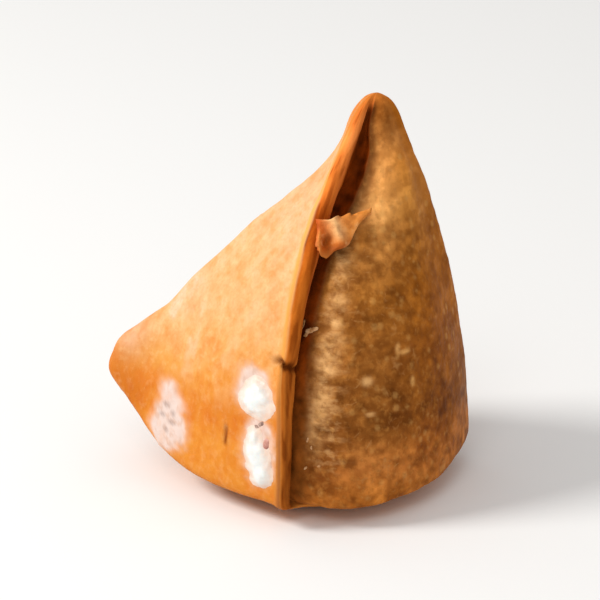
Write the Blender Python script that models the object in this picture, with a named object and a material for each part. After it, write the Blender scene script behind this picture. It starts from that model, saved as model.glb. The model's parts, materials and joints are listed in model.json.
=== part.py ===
"""A fried samosa standing on its closed base.

One solid: a cone of dough with four soft ridges (the overlapping flap in front, an ear on
either side and the belly at the back), closed along a pinched seam underneath. The cut edge
of the flap stands off the sheet it laps over, so a narrow open fold runs from tip to base.

The skin is a closed cubic B-spline net. Its columns follow the ridges, its rings climb from
the tip down the sides, turn round the lower edge and end in the middle of the underside.
Lengths are millimetres until the mesh is made: x to the right, y to the back, z up.
"""

import bpy
import numpy as np

MM = 0.001

# ---- ridges, as quartic Bezier control points from the tip down to the lower edge
FLAP = [(8.3, -1.6, 73.6), (1.8, -7.0, 61.6), (-7.9, -19.0, 41.1), (-4.0, -29.5, 20.3), (-5.3, -26.5, 4.2)]
LEFT = [(8.3, 3.0, 73.4), (9.0, 2.0, 62.1), (-20.5, 4.0, 47.3), (-32.0, 7.0, 31.0), (-40.2, 8.0, 19.6)]
BACK = [(14.2, 5.0, 73.4), (12.0, 12.0, 60.5), (5.0, 23.0, 44.0), (-1.0, 31.0, 23.0), (-1.0, 24.0, 3.5)]
RIGHT = [(17.9, 1.2, 73.2), (23.1, 3.0, 59.8), (31.6, 5.0, 41.6), (31.0, 7.0, 22.4), (32.5, 9.0, 5.2)]
TIP = np.array([12.9, 1.0, 79.1])
REST_CENTRE = np.array([1.0, 0.5, 0.0])

# ---- dough sheet, open fold and belly along the height (0 at the tip ring, 1 at the lower edge)
SHEET = ([0, .12, .22, .35, .6, .9, 1], [2.2, 3.2, 3.3, 3.7, 3.3, 3.0, 2.5])              # thickness of the cut edge
FOLD_GAP = ([0, .05, .14, .24, .36, .5, .7, .88, 1], [1.1, 2.7, 4.4, 4.4, 3.3, 2.2, 1.9, 1.9, .9])
FOLD_DEPTH = ([0, .12, .3, .5, .85, 1], [.5, 3.0, 3.6, 2.8, 2.6, 1.1])
RECESS = ([0, .1, .3, .5, 1], [.4, 1.6, 1.6, .6, .4])                       # the right face starts behind the flap
RIGHT_TURN = ([0, .25, .45, 1], [0, 0, 1, 1])                         # how steeply it comes forward again
LEFT_BULGE = ([0, .3, .6, 1], [.3, 1.2, 3.0, 3.0])
RIGHT_BULGE = ([0, .3, .5, 1], [.22, .22, .29, .28])                           # share of the face width
BACK_BULGE = .13
CREST = .50                                                           # the rolled lip of the flap
EAR_REACH = .8

# ---- hand-shaped unevenness of the left ridge: (height, spread, how far out)
LEFT_WAVES = ((51, 4.5, .9), (38, 3.2, -.4), (34, 3.2, -1.1), (30, 3.2, .6), (26, 3.2, 1.9), (22, 3.2, .5))

# ---- underside
FLAT_SHARE = .55                                                      # of the way from centre to edge
UNDERSIDE_CURVE = 1.15
UNDERSIDE_RINGS = (.93, .82, .69, .55, .38, .19)
FOLD_FROM, FOLD_FADE = 20, .16                                        # where the open fold runs out
SEAM_Y, SEAM_BOW = 8.5, 2.2                                           # pinched seam from ear to ear
SEAM_DEPTH, SEAM_HALF = 1.3, 1.9

SIDE_RINGS = 15
COLUMNS_ROUND, RINGS_DOWN = 88, 48


def unit(v):
    return v / np.maximum(np.linalg.norm(v, axis=-1, keepdims=True), 1e-9)


def ramp(x, a, b):
    x = np.clip((x - a) / (b - a), 0, 1)
    return x * x * (3 - 2 * x)


def ridge(points, t):
    p = np.asarray(points, float)
    t = np.asarray(t, float)[..., None]
    shares = (1 - t) ** 4, 4 * (1 - t) ** 3 * t, 6 * (1 - t) ** 2 * t ** 2, 4 * (1 - t) * t ** 3, t ** 4
    return sum(share * point for share, point in zip(shares, p))


def side_columns(t):
    """The side rings' net points, counter-clockwise from the cut edge of the flap."""
    front, left, back, right = (ridge(r, t) for r in (FLAP, LEFT, BACK, RIGHT))
    middle = (front + left + back + right) / 4

    def face(a, b):
        along = unit(b - a)
        out = unit(np.cross(along, [0, 0, 1.0]))
        out = out * np.sign(np.sum(out * ((a + b) / 2 - middle), -1, keepdims=True))
        return along, out, np.linalg.norm(b - a, axis=-1)[..., None]

    (l_dir, l_out, l_len), (r_dir, r_out, r_len) = face(front, left), face(front, right)
    (b_dir, b_out, b_len), (k_dir, k_out, k_len) = face(left, back), face(back, right)
    sheet, gap, depth, recess, turn, bulge, belly = (
        np.interp(t, *table)[..., None] for table in (SHEET, FOLD_GAP, FOLD_DEPTH, RECESS, RIGHT_TURN, LEFT_BULGE, RIGHT_BULGE)
    )
    low = ramp(t, .45, 1)[..., None]

    def sag(point, to, share):
        """Between the corners the lower edge comes down towards the rest plane."""
        point = point.copy()
        point[..., 2:] += (to[..., 2:] - point[..., 2:]) * share * low
        return point

    net = [front + .12 * l_dir + .22 * l_out, front + .9 * l_dir + CREST * l_out, front + np.minimum(3.4, .3 * l_len) * l_dir + .05 * l_out]
    # left face
    for share, rise, drop in ((.34, .75, .9), (.56, .85, .78), (.76, .6, .38)):
        net.append(sag(front + share * l_len * l_dir + rise * bulge * l_out, front, drop))
    net.append(sag(left - np.minimum(4.0, .13 * l_len) * l_dir + .3 * bulge * l_out, front, .06))
    # left ear and back
    net.append(left + EAR_REACH * unit(left - middle))
    net.append(left + np.minimum(4.5, .15 * b_len) * b_dir + .8 * b_out)
    for share, drop in ((.38, .7), (.7, .9)):
        net.append(sag(left + share * b_len * b_dir + BACK_BULGE * b_len * b_out, back, drop))
    net.append(back + .06 * b_len * unit(back - middle))
    for share in (.28, .6):
        net.append(back + share * k_len * k_dir + .12 * k_len * k_out)
    # right ear and the rounded right face
    net.append(right - np.minimum(4.5, .15 * k_len) * k_dir + .5 * k_out)
    net.append(right + .5 * unit(right - middle))
    net.append(right - np.minimum(4.0, .13 * r_len) * r_dir + .06 * r_len * r_out)
    mouth = front - (sheet + gap) * l_out - recess * r_out
    m_dir, m_out, m_len = face(mouth, right)
    for share, rise, more in ((.70, .78, -.04), (.46, 1, -.03), (.24, .7, .13), (.08, .22, .36)):
        net.append(mouth + share * m_len * m_dir + (rise + more * turn) * belly * m_len * m_out)
    # the inner sheet rolls in under the flap, then back out along the flap's inside to its cut edge
    net.append(mouth + .35 * depth * l_dir)
    net.append(mouth + depth * l_dir + .15 * gap * l_out)
    net.append(front + (depth + recess + .5) * l_dir - (sheet + .45 * gap) * l_out)
    net.append(front + (depth + .5 * recess) * l_dir - (sheet + .1 * gap) * l_out)
    net.append(front + 1.0 * l_dir - (sheet - .05) * l_out)
    net.append(front + .25 * l_dir - (sheet - .1) * l_out)
    net.append(front - .42 * l_dir - .45 * (sheet - .3) * l_out)
    return np.stack(net, 1)


def shut(ring):
    """A ring without the fold: the fold's net points spread evenly between its two sheets."""
    ring = ring.copy()
    fold = [*range(FOLD_FROM, len(ring)), 0]
    first, last = ring[FOLD_FROM - 1].copy(), ring[1].copy()
    for k, j in enumerate(fold, 1):
        ring[j] = first + (last - first) * k / (len(fold) + 1)
    return ring


def skin_net():
    """All rings: the tip, its cap, the sides, the underside and the middle of it."""
    fine = np.linspace(0, 1, 400)
    spine = (ridge(FLAP, fine) + ridge(LEFT, fine) + ridge(RIGHT, fine)) / 3
    along = np.concatenate([[0], np.cumsum(np.linalg.norm(np.diff(spine, axis=0), axis=1))])
    sides = side_columns(np.interp(np.linspace(0, along[-1], SIDE_RINGS), along, fine))
    top, base = sides[0], sides[-1]
    centre = top.mean(0)
    cap = [centre + (top + (shut(top) - top) * (1 - k) - centre) * k + (TIP - centre) * (1 - k ** 2.5) for k in (.42, .76)]
    rings = [np.tile(TIP, (len(top), 1)), *cap, *sides]
    # the fold runs out towards the tip, and again below the edge
    closed = shut(base)
    for share in UNDERSIDE_RINGS:
        edge = base + (closed - base) * min(1, (1 - share) / FOLD_FADE)
        ring = edge.copy()
        ring[:, :2] = REST_CENTRE[:2] + (edge[:, :2] - REST_CENTRE[:2]) * share
        ring[:, 2] = edge[:, 2] * max(0, (share - FLAT_SHARE) / (1 - FLAT_SHARE)) ** UNDERSIDE_CURVE
        rings.append(ring)
    rings.append(np.tile(REST_CENTRE, (len(top), 1)))
    return np.array(rings)


def spline(x, n, closed):
    """Uniform cubic B-spline weights of n net points at the parameters x."""
    i = np.floor(x).astype(int)
    f = x - i
    shares = (1 - f) ** 3 / 6, (3 * f ** 3 - 6 * f ** 2 + 4) / 6, (-3 * f ** 3 + 3 * f ** 2 + 3 * f + 1) / 6, f ** 3 / 6
    table = np.zeros((len(x), n))
    for k, share in enumerate(shares):
        j = i + k - 1
        np.add.at(table, (np.arange(len(x)), j % n if closed else np.clip(j, 0, n - 1)), share)
    return table


def walked(points, extra):
    """Length walked along the points, plus an even share that keeps tight curves well divided."""
    step = np.linalg.norm(np.diff(points, axis=0), axis=1)
    return np.concatenate([[0], np.cumsum(step + step.sum() / len(step) * extra)])


def spacing(net, columns, rings):
    m, n, _ = net.shape
    across, down = np.linspace(0, n, 1601), np.linspace(0, m - 1, 1201)
    ring = spline(across, n, True) @ np.einsum("um,mjc->jc", spline(np.array([9.0]), m, False), net)
    length = walked(ring, .25)
    s = np.interp(np.arange(columns) / columns * length[-1], length, across)
    falls = [walked(spline(down, m, False) @ net[:, j], .15) for j in (0, 7, 11, 15)]
    u = np.interp(np.linspace(0, 1, rings + 2)[1:-1], sum(f / f[-1] for f in falls) / 4, down)
    return s, u


def detail(skin, s, u, side_end):
    """Waves along the left ridge and the pinched seam of the underside."""
    on_side = 1 - ramp(u, side_end - .3, side_end + 1.6)
    near = np.exp(-((s - 7) / 1.1) ** 2)
    out = sum(a * np.exp(-((skin[..., 2] - z) / w) ** 2) for z, w, a in LEFT_WAVES) * near * on_side[:, None]
    skin[..., 0] -= out * .93
    skin[..., 1] += out * .2
    under = np.clip((u - side_end) / 1.5, 0, 1)[:, None]
    off = skin[..., 1] - (SEAM_Y - SEAM_BOW * (1 - (skin[..., 0] / 36) ** 2))
    skin[..., 2] += SEAM_DEPTH * np.exp(-(off / SEAM_HALF) ** 2) * under
    return skin


def samosa_skin(columns, rings):
    net = skin_net()
    m, n, _ = net.shape
    s, u = spacing(net, columns, rings)
    skin = np.einsum("um,mjc,sj->usc", spline(u, m, False), net, spline(s, n, True))
    skin = detail(skin, s, u, 3 + SIDE_RINGS)
    skin[..., 2] = np.maximum(skin[..., 2], 0)
    tip = (5 * net[0, 0] + net[1].mean(0)) / 6
    return skin, tip, REST_CENTRE


def make_samosa():
    skin, tip, foot = samosa_skin(COLUMNS_ROUND, RINGS_DOWN)
    rings, columns, _ = skin.shape
    points = np.vstack([skin.reshape(-1, 3), tip, foot])
    points -= [*((points.min(0) + points.max(0)) / 2)[:2], points[:, 2].min()]
    at = lambda r, c: r * columns + c % columns
    top, bottom = rings * columns, rings * columns + 1
    faces = [(top, at(0, c), at(0, c + 1)) for c in range(columns)]
    for r in range(rings - 1):
        for c in range(columns):
            faces.append((at(r, c), at(r + 1, c), at(r + 1, c + 1), at(r, c + 1)))
    faces += [(bottom, at(rings - 1, c + 1), at(rings - 1, c)) for c in range(columns)]
    a, b, c = (points[[f[k] for f in faces]] for k in range(3))
    if np.einsum("ij,ij->i", a, np.cross(b, c)).sum() < 0:
        faces = [f[::-1] for f in faces]
    mesh = bpy.data.meshes.new("samosa")
    mesh.from_pydata((points * MM).tolist(), [], faces)
    mesh.shade_smooth()
    body = bpy.data.objects.new("samosa", mesh)
    bpy.context.scene.collection.objects.link(body)
    return body


def crust_material():
    crust = bpy.data.materials.new("fried_crust")
    crust.use_nodes = True
    shader = crust.node_tree.nodes["Principled BSDF"]
    shader.inputs["Base Color"].default_value = (.62, .30, .09, 1)
    shader.inputs["Roughness"].default_value = .55
    shader.inputs["Metallic"].default_value = 0
    return crust


for old in list(bpy.data.objects):
    bpy.data.objects.remove(old, do_unlink=True)
make_samosa().data.materials.append(crust_material())
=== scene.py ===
"""Looks of the samosa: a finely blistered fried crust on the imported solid, a few marks of
yoghurt that stick to its left face, and a flake and crumbs caught in the open fold.

Lengths are millimetres until a mesh is made: x to the right, y to the back, z up.
"""

import json

import bmesh
import bpy
import numpy as np
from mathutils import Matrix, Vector
from mathutils.bvhtree import BVHTree
from mathutils.kdtree import KDTree

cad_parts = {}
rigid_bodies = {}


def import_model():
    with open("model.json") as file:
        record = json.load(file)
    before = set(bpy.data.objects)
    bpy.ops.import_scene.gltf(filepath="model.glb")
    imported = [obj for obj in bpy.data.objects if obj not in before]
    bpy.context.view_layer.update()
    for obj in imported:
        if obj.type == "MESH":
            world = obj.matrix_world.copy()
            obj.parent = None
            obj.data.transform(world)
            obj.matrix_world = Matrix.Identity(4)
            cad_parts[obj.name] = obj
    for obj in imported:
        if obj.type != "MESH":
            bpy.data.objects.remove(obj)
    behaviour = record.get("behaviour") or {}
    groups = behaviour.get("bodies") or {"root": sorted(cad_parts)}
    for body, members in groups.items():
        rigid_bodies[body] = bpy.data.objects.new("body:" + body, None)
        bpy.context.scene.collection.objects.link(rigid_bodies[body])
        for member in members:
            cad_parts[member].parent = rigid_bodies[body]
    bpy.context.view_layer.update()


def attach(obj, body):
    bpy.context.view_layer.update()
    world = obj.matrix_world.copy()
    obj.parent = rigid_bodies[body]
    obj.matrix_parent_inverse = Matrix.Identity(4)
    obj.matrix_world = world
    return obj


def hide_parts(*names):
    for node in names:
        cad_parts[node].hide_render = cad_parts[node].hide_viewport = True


MM = 0.001
SEED = 41

# ------------------------------------------------------------------ the shape, as the solid has it
FLAP = [(8.3, -1.6, 73.6), (1.8, -7.0, 61.6), (-7.9, -19.0, 41.1), (-4.0, -29.5, 20.3), (-5.3, -26.5, 4.2)]
LEFT = [(8.3, 3.0, 73.4), (9.0, 2.0, 62.1), (-20.5, 4.0, 47.3), (-32.0, 7.0, 31.0), (-40.2, 8.0, 19.6)]
BACK = [(14.2, 5.0, 73.4), (12.0, 12.0, 60.5), (5.0, 23.0, 44.0), (-1.0, 31.0, 23.0), (-1.0, 24.0, 3.5)]
RIGHT = [(17.9, 1.2, 73.2), (23.1, 3.0, 59.8), (31.6, 5.0, 41.6), (31.0, 7.0, 22.4), (32.5, 9.0, 5.2)]
TIP = np.array([12.9, 1.0, 79.1])
REST_CENTRE = np.array([1.0, 0.5, 0.0])
SHEET = ([0, .12, .22, .35, .6, .9, 1], [2.2, 3.2, 3.3, 3.7, 3.3, 3.0, 2.5])
FOLD_GAP = ([0, .05, .14, .24, .36, .5, .7, .88, 1], [1.1, 2.7, 4.4, 4.4, 3.3, 2.2, 1.9, 1.9, .9])
FOLD_DEPTH = ([0, .12, .3, .5, .85, 1], [.5, 3.0, 3.6, 2.8, 2.6, 1.1])
RECESS = ([0, .1, .3, .5, 1], [.4, 1.6, 1.6, .6, .4])
RIGHT_TURN = ([0, .25, .45, 1], [0, 0, 1, 1])
LEFT_BULGE = ([0, .3, .6, 1], [.3, 1.2, 3.0, 3.0])
RIGHT_BULGE = ([0, .3, .5, 1], [.22, .22, .29, .28])
BACK_BULGE = .13
CREST = .50
EAR_REACH = .8
LEFT_WAVES = ((51, 4.5, .9), (38, 3.2, -.4), (34, 3.2, -1.1), (30, 3.2, .6), (26, 3.2, 1.9), (22, 3.2, .5))
FLAT_SHARE = .55
UNDERSIDE_CURVE = 1.15
UNDERSIDE_RINGS = (.93, .82, .69, .55, .38, .19)
FOLD_FROM, FOLD_FADE = 20, .16
SEAM_Y, SEAM_BOW = 8.5, 2.2
SEAM_DEPTH, SEAM_HALF = 1.3, 1.9
SIDE_RINGS = 15
SOLID_COLUMNS, SOLID_RINGS = 88, 48
FINE_COLUMNS, FINE_RINGS = 420, 234


def unit(v):
    return v / np.maximum(np.linalg.norm(v, axis=-1, keepdims=True), 1e-9)


def ramp(x, a, b):
    x = np.clip((x - a) / (b - a), 0, 1)
    return x * x * (3 - 2 * x)


def ridge(points, t):
    p = np.asarray(points, float)
    t = np.asarray(t, float)[..., None]
    shares = (1 - t) ** 4, 4 * (1 - t) ** 3 * t, 6 * (1 - t) ** 2 * t ** 2, 4 * (1 - t) * t ** 3, t ** 4
    return sum(share * point for share, point in zip(shares, p))


def side_columns(t):
    front, left, back, right = (ridge(r, t) for r in (FLAP, LEFT, BACK, RIGHT))
    middle = (front + left + back + right) / 4

    def face(a, b):
        along = unit(b - a)
        out = unit(np.cross(along, [0, 0, 1.0]))
        out = out * np.sign(np.sum(out * ((a + b) / 2 - middle), -1, keepdims=True))
        return along, out, np.linalg.norm(b - a, axis=-1)[..., None]

    (l_dir, l_out, l_len), (r_dir, r_out, r_len) = face(front, left), face(front, right)
    (b_dir, b_out, b_len), (k_dir, k_out, k_len) = face(left, back), face(back, right)
    sheet, gap, depth, recess, turn, bulge, belly = (
        np.interp(t, *table)[..., None] for table in (SHEET, FOLD_GAP, FOLD_DEPTH, RECESS, RIGHT_TURN, LEFT_BULGE, RIGHT_BULGE)
    )
    low = ramp(t, .45, 1)[..., None]

    def sag(point, to, share):
        point = point.copy()
        point[..., 2:] += (to[..., 2:] - point[..., 2:]) * share * low
        return point

    net = [front + .12 * l_dir + .22 * l_out, front + .9 * l_dir + CREST * l_out, front + np.minimum(3.4, .3 * l_len) * l_dir + .05 * l_out]
    for share, rise, drop in ((.34, .75, .9), (.56, .85, .78), (.76, .6, .38)):
        net.append(sag(front + share * l_len * l_dir + rise * bulge * l_out, front, drop))
    net.append(sag(left - np.minimum(4.0, .13 * l_len) * l_dir + .3 * bulge * l_out, front, .06))
    net.append(left + EAR_REACH * unit(left - middle))
    net.append(left + np.minimum(4.5, .15 * b_len) * b_dir + .8 * b_out)
    for share, drop in ((.38, .7), (.7, .9)):
        net.append(sag(left + share * b_len * b_dir + BACK_BULGE * b_len * b_out, back, drop))
    net.append(back + .06 * b_len * unit(back - middle))
    for share in (.28, .6):
        net.append(back + share * k_len * k_dir + .12 * k_len * k_out)
    net.append(right - np.minimum(4.5, .15 * k_len) * k_dir + .5 * k_out)
    net.append(right + .5 * unit(right - middle))
    net.append(right - np.minimum(4.0, .13 * r_len) * r_dir + .06 * r_len * r_out)
    mouth = front - (sheet + gap) * l_out - recess * r_out
    m_dir, m_out, m_len = face(mouth, right)
    for share, rise, more in ((.70, .78, -.04), (.46, 1, -.03), (.24, .7, .13), (.08, .22, .36)):
        net.append(mouth + share * m_len * m_dir + (rise + more * turn) * belly * m_len * m_out)
    net.append(mouth + .35 * depth * l_dir)
    net.append(mouth + depth * l_dir + .15 * gap * l_out)
    net.append(front + (depth + recess + .5) * l_dir - (sheet + .45 * gap) * l_out)
    net.append(front + (depth + .5 * recess) * l_dir - (sheet + .1 * gap) * l_out)
    net.append(front + 1.0 * l_dir - (sheet - .05) * l_out)
    net.append(front + .25 * l_dir - (sheet - .1) * l_out)
    net.append(front - .42 * l_dir - .45 * (sheet - .3) * l_out)
    return np.stack(net, 1)


def shut(ring):
    ring = ring.copy()
    fold = [*range(FOLD_FROM, len(ring)), 0]
    first, last = ring[FOLD_FROM - 1].copy(), ring[1].copy()
    for k, j in enumerate(fold, 1):
        ring[j] = first + (last - first) * k / (len(fold) + 1)
    return ring


def skin_net():
    fine = np.linspace(0, 1, 400)
    spine = (ridge(FLAP, fine) + ridge(LEFT, fine) + ridge(RIGHT, fine)) / 3
    along = np.concatenate([[0], np.cumsum(np.linalg.norm(np.diff(spine, axis=0), axis=1))])
    sides = side_columns(np.interp(np.linspace(0, along[-1], SIDE_RINGS), along, fine))
    top, base = sides[0], sides[-1]
    centre = top.mean(0)
    cap = [centre + (top + (shut(top) - top) * (1 - k) - centre) * k + (TIP - centre) * (1 - k ** 2.5) for k in (.42, .76)]
    rings = [np.tile(TIP, (len(top), 1)), *cap, *sides]
    closed = shut(base)
    for share in UNDERSIDE_RINGS:
        edge = base + (closed - base) * min(1, (1 - share) / FOLD_FADE)
        ring = edge.copy()
        ring[:, :2] = REST_CENTRE[:2] + (edge[:, :2] - REST_CENTRE[:2]) * share
        ring[:, 2] = edge[:, 2] * max(0, (share - FLAT_SHARE) / (1 - FLAT_SHARE)) ** UNDERSIDE_CURVE
        rings.append(ring)
    rings.append(np.tile(REST_CENTRE, (len(top), 1)))
    return np.array(rings)


def spline(x, n, closed):
    i = np.floor(x).astype(int)
    f = x - i
    shares = (1 - f) ** 3 / 6, (3 * f ** 3 - 6 * f ** 2 + 4) / 6, (-3 * f ** 3 + 3 * f ** 2 + 3 * f + 1) / 6, f ** 3 / 6
    table = np.zeros((len(x), n))
    for k, share in enumerate(shares):
        j = i + k - 1
        np.add.at(table, (np.arange(len(x)), j % n if closed else np.clip(j, 0, n - 1)), share)
    return table


def walked(points, extra, weight=None):
    step = np.linalg.norm(np.diff(points, axis=0), axis=1)
    if weight is not None:
        step = step * weight
    return np.concatenate([[0], np.cumsum(step + step.sum() / len(step) * extra)])


def spacing(net, columns, rings, fine=False):
    """Where columns and rings lie. The fine skin keeps most of them for the faces and the fold."""
    m, n, _ = net.shape
    across, down = np.linspace(0, n, 1601), np.linspace(0, m - 1, 1201)
    ring = spline(across, n, True) @ np.einsum("um,mjc->jc", spline(np.array([9.0]), m, False), net)
    back = 1 - .45 * ramp(across[1:], 7.5, 9) * (1 - ramp(across[1:], 13.5, 15)) if fine else None
    length = walked(ring, .12 if fine else .25, back)
    s = np.interp(np.arange(columns) / columns * length[-1], length, across)
    under = 1 - .5 * ramp(down[1:], 19, 21) if fine else None
    falls = [walked(spline(down, m, False) @ net[:, j], .15, under) for j in ((0, 3, 17) if fine else (0, 7, 11, 15))]
    u = np.interp(np.linspace(0, 1, rings + 2)[1:-1], sum(f / f[-1] for f in falls) / len(falls), down)
    return s, u


def detail(skin, s, u, side_end):
    on_side = 1 - ramp(u, side_end - .3, side_end + 1.6)
    near = np.exp(-((s - 7) / 1.1) ** 2)
    out = sum(a * np.exp(-((skin[..., 2] - z) / w) ** 2) for z, w, a in LEFT_WAVES) * near * on_side[:, None]
    skin[..., 0] -= out * .93
    skin[..., 1] += out * .2
    under = np.clip((u - side_end) / 1.5, 0, 1)[:, None]
    off = skin[..., 1] - (SEAM_Y - SEAM_BOW * (1 - (skin[..., 0] / 36) ** 2))
    skin[..., 2] += SEAM_DEPTH * np.exp(-(off / SEAM_HALF) ** 2) * under
    return skin


def samosa_skin(columns, rings, fine=False):
    net = skin_net()
    m, n, _ = net.shape
    s, u = spacing(net, columns, rings, fine)
    skin = np.einsum("um,mjc,sj->usc", spline(u, m, False), net, spline(s, n, True))
    skin = detail(skin, s, u, 3 + SIDE_RINGS)
    skin[..., 2] = np.maximum(skin[..., 2], 0)
    return skin, (5 * net[0, 0] + net[1].mean(0)) / 6, REST_CENTRE, s, u


# ------------------------------------------------------------------ noise
def lattice(i, seed):
    """A fixed pseudo-random number from 0 to 1 for each whole-numbered point."""
    i = i.astype(np.int64)
    h = (i[..., 0] * 374761393 + i[..., 1] * 668265263 + i[..., 2] * 2147483629 + seed * 1013904223) & 0xFFFFFFFF
    h = ((h ^ (h >> 13)) * 1274126177) & 0xFFFFFFFF
    h = ((h ^ (h >> 16)) * 2246822519) & 0xFFFFFFFF
    return ((h ^ (h >> 15)) & 0xFFFFFF) / 0xFFFFFF


def noise(p, size, seed):
    """Smooth noise from -1 to 1 with features about size across."""
    q = np.asarray(p, float) / size
    cell = np.floor(q)
    f = q - cell
    f = f ** 3 * (f * (f * 6 - 15) + 10)
    total = 0
    for corner in range(8):
        c = np.array([corner & 1, corner >> 1 & 1, corner >> 2 & 1])
        share = np.prod(np.where(c == 1, f, 1 - f), axis=-1)
        total = total + share * lattice(cell + c, seed)
    return total * 2 - 1


def clouds(p, size, octaves, seed, keep=.5):
    total, high, scale = 0, 0, 1.0
    for k in range(octaves):
        total = total + scale * noise(p + 17.3 * k, size / 2 ** k, seed + 101 * k)
        high += scale
        scale *= keep
    return total / high * 1.6


def linear(r, g, b):
    c = np.array([r, g, b], float) / 255
    return np.where(c <= .04045, c / 12.92, ((c + .055) / 1.055) ** 2.4)


def stops(x, table):
    """Colours (0-255) between named heights, as linear values."""
    xs = [row[0] for row in table]
    cs = np.array([linear(*row[1]) for row in table])
    return np.stack([np.interp(x, xs, cs[:, k]) for k in range(3)], -1)


def mix(a, b, k):
    return a + (b - a) * np.clip(k, 0, 1)[..., None]


# ------------------------------------------------------------------ meshes
def new_mesh(name, points, faces, smooth=True):
    mesh = bpy.data.meshes.new(name)
    mesh.from_pydata((np.asarray(points) * MM).tolist(), [], [tuple(int(i) for i in f) for f in faces])
    mesh.update()
    if smooth:
        mesh.shade_smooth()
    piece = bpy.data.objects.new(name, mesh)
    bpy.context.scene.collection.objects.link(piece)
    return piece


def paint(piece, name, values):
    values = np.asarray(values, np.float32)
    rgba = np.ones((len(values), 4), np.float32)
    rgba[:, :3] = values
    layer = piece.data.color_attributes.new(name=name, type="FLOAT_COLOR", domain="POINT")
    layer.data.foreach_set("color", rgba.ravel())


def grid_normals(skin):
    across = np.roll(skin, -1, 1) - np.roll(skin, 1, 1)
    down = np.gradient(skin, axis=0)
    return unit(np.cross(across, down))


def facing_out(points, faces):
    faces = [tuple(f) for f in faces]
    a, b, c = (points[[f[k] for f in faces]] for k in range(3))
    return [f[::-1] for f in faces] if np.einsum("ij,ij->i", a, np.cross(b, c)).sum() < 0 else faces


# ------------------------------------------------------------------ the crust
NICK_Z, NICK_SIZE = 32.6, .58            # a crack across the lip of the flap
FACE_CRACK = (-12.5, 14.0, 17.9, .34)    # x, lowest, highest, half width, on the left face
EAR_TIP = np.array([-35.0, 6.5, 21.0])
BLISTERS = 2600



# yoghurt marks on the left face, as soft ellipses: x, z, half width, half height, lean
SPOT = [(-6.0, 25.2, 2.7, 3.1, 0), (-7.5, 24.0, 2.6, 1.9, .1), (-5.7, 22.9, 2.0, 1.6, 0)]
DRIP = [(-6.5, 17.4, 1.3, 1.9, 0), (-6.3, 13.8, 2.3, 3.4, .06), (-5.5, 10.5, 2.2, 2.6, 0)]
SPOT_FILM = [(-6.6, 25.2, 4.0, 4.2, 0), (-6.4, 28.4, 2.9, 1.9, 0), (-9.2, 24.4, 1.8, 1.8, 0)]
DRIP_FILM = [(-5.9, 18.6, 2.8, 3.4, 0), (-5.9, 13.2, 3.5, 5.6, .03)]
SMEAR_FILM = [(-23.6, 18.2, 2.5, 4.4, .12), (-23.2, 13.6, 3.7, 5.0, .08), (-24.9, 11.0, 2.6, 3.2, 0)]
# name of the mark: film, ragged, broken up, strength of the film
FILMS = ((SPOT_FILM, 5, .55, .2, .86), (DRIP_FILM, 9, .55, .25, .86), (SMEAR_FILM, 14, .6, .45, .97))


def mark_field(X, Z, blobs, seed, ragged, break_up=0.0):
    """Above 0 inside the mark, in millimetres from its edge, with an uneven outline."""
    flat = np.stack([X.ravel(), Z.ravel() * 0 + seed, Z.ravel()], -1)
    field = np.full(X.shape, -9.0)
    for bx, bz, hw, hh, lean in blobs:
        dx = (X - bx - lean * (Z - bz)) / hw
        dz = (Z - bz) / hh
        d = (1 - np.sqrt(dx * dx + dz * dz)) * min(hw, hh)
        k = 1.6
        field = np.log(np.exp(k * field) + np.exp(k * np.maximum(d, -9))) / k
    field = field + ragged * clouds(flat, 2.6, 3, seed).reshape(X.shape)
    if break_up:
        field = field - break_up * ramp(clouds(flat, 1.5, 2, seed + 7).reshape(X.shape), .05, .8)
    return field


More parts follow.
